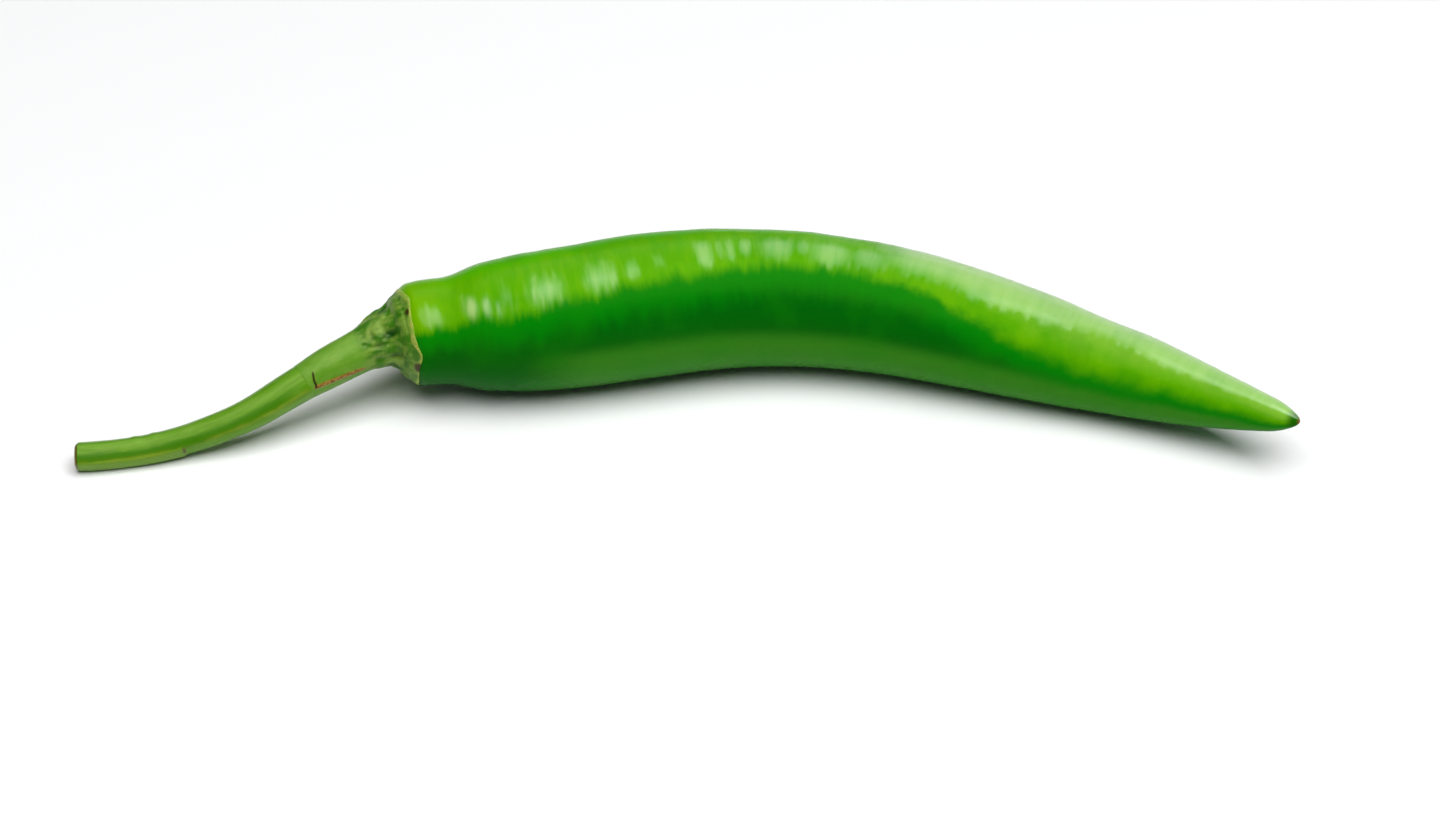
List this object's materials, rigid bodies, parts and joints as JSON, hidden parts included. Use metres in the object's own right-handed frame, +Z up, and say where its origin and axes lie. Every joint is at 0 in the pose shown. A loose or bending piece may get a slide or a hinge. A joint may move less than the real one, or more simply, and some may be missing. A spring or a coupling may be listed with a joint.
{
  "type": "green chilli pepper",
  "caption": "Long curved green chilli pod lying on its side, with a toothed calyx cup at its neck and a bent cut stalk; dressing for kitchens, food displays and market stalls.",
  "frame": {"origin": "under the middle of the whole pepper's box, on the surface it lies on", "axes": "+X from the stalk's cut end towards the pod's tip, +Y towards the outside of its bend, +Z up"},
  "size_m": [0.1918, 0.0432, 0.0232],
  "materials": {
    "skin": "waxy gloss",
    "calyx": "satin",
    "stalk": "satin"
  },
  "bodies": {
    "root": {"fruit": "skin", "calyx": "calyx", "stem": "stalk"}
  },
  "joints": []
}
